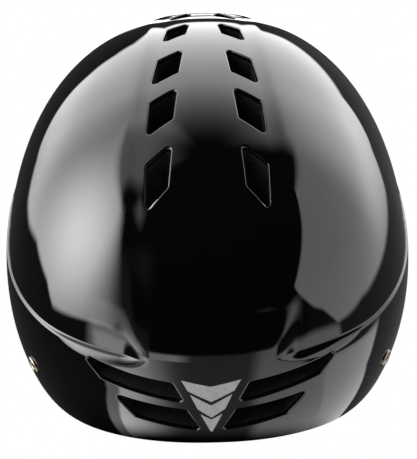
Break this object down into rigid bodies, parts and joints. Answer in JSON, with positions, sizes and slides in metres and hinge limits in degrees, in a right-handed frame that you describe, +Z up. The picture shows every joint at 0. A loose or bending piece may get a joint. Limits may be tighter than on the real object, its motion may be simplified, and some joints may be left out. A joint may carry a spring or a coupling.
{
  "type": "bicycle helmet",
  "caption": "Hard-shell bicycle helmet with vents, foam liner, comfort pads, dial-adjusted headband, webbing yoke and side-release chin buckle.",
  "frame": {"origin": "centre of the head opening, on the centre plane, at the height of the shell's edge over the brow and at the shell's widest line", "axes": "+Z up towards the crown, -Y the wearer's front, +X the wearer's left when worn, drawn as the right-hand side seen from the front"},
  "size_m": [0.2084, 0.2502, 0.2542],
  "materials": {
    "shell_abs": "high-gloss black, thermoformed",
    "eps_foam": "black expanded polystyrene beads",
    "reflective_sticker": "silver-grey reflective film",
    "eyelet_metal": "nickel-washed brass, bright",
    "washer_steel": "plain stamped steel",
    "pad_fabric": "brushed knit over foam",
    "hook_disc": "moulded hook fastener",
    "webbing": "woven polypropylene",
    "clip_plastic": "moulded acetal, satin",
    "lever_plastic": "moulded acetal, satin",
    "keeper_rubber": "moulded rubber",
    "band_plastic": "flexible polypropylene, fine texture",
    "gear_acetal": "natural acetal",
    "dial_plastic": "moulded nylon, satin",
    "screw_steel": "zinc-plated steel",
    "spring_steel": "bright spring steel"
  },
  "bodies": {
    "helmet": {"outer_shell": "shell_abs", "foam_liner": "eps_foam", "reflective_chevrons": "reflective_sticker", "strap_eyelets": "eyelet_metal", "eyelet_washers": "washer_steel", "brow_pad": "pad_fabric", "crown_pad": "pad_fabric", "left_side_pad": "pad_fabric", "right_side_pad": "pad_fabric", "rear_pad": "pad_fabric", "pad_discs": "hook_disc", "left_front_strap": "webbing", "right_front_strap": "webbing", "left_rear_strap": "webbing", "right_rear_strap": "webbing", "left_divider": "clip_plastic", "right_divider": "clip_plastic", "left_headband": "band_plastic", "right_headband": "band_plastic", "headband_pins": "clip_plastic", "cradle_hangers": "band_plastic", "dial_base": "band_plastic", "dial_housing": "dial_plastic", "housing_screws": "screw_steel", "click_spring": "spring_steel", "cradle_pad": "pad_fabric"},
    "dial": {"dial_pinion": "gear_acetal", "dial_knob": "dial_plastic", "dial_screw": "screw_steel"},
    "right_rack": {"right_rack": "band_plastic"},
    "left_rack": {"left_rack": "band_plastic"},
    "right_cam_lever": {"right_cam_lever": "lever_plastic"},
    "left_cam_lever": {"left_cam_lever": "lever_plastic"},
    "chin_loop": {"left_chin_strap": "webbing", "right_chin_strap": "webbing", "buckle_plug": "clip_plastic", "plug_prongs": "clip_plastic"},
    "buckle_socket": {"buckle_socket": "clip_plastic"},
    "strap_keeper": {"strap_keeper": "keeper_rubber"}
  },
  "joints": [
    {"name": "dial_turn", "type": "hinge", "parent": "helmet", "child": "dial", "pos_m": [0, 0.1, -0.038], "axis": [0, 1, 0], "range_deg": [-79.5, 79.5]},
    {"name": "right_rack_slide", "type": "slide", "parent": "helmet", "child": "right_rack", "axis": [1, 0, 0], "range_m": [-0.0075, 0.0075], "deforming": ["right_headband"]},
    {"name": "left_rack_slide", "type": "slide", "parent": "helmet", "child": "left_rack", "axis": [1, 0, 0], "range_m": [-0.0075, 0.0075], "deforming": ["left_headband"]},
    {"name": "right_lever_turn", "type": "hinge", "parent": "helmet", "child": "right_cam_lever", "pos_m": [0.0763, 0.018, -0.053], "axis": [0, -1, 0], "range_deg": [0, 80]},
    {"name": "left_lever_turn", "type": "hinge", "parent": "helmet", "child": "left_cam_lever", "pos_m": [-0.0763, 0.018, -0.053], "axis": [0, 1, 0], "range_deg": [0, 80]},
    {"name": "chin_loop_swing", "type": "hinge", "parent": "helmet", "child": "chin_loop", "pos_m": [0, 0.018, -0.057], "axis": [1, 0, 0], "range_deg": [-30, 30]},
    {"name": "buckle_release", "type": "slide", "parent": "chin_loop", "child": "buckle_socket", "axis": [1, 0, 0], "range_m": [0, 0.022], "deforming": ["plug_prongs", "right_chin_strap"]},
    {"name": "keeper_slide", "type": "slide", "parent": "chin_loop", "child": "strap_keeper", "axis": [1, 0, 0], "range_m": [-0.008, 0.012]}
  ],
  "couplings": [
    {"joint": "right_rack_slide", "follows": "dial_turn", "m_per_rad": 0.0054},
    {"joint": "left_rack_slide", "follows": "dial_turn", "m_per_rad": -0.0054}
  ]
}
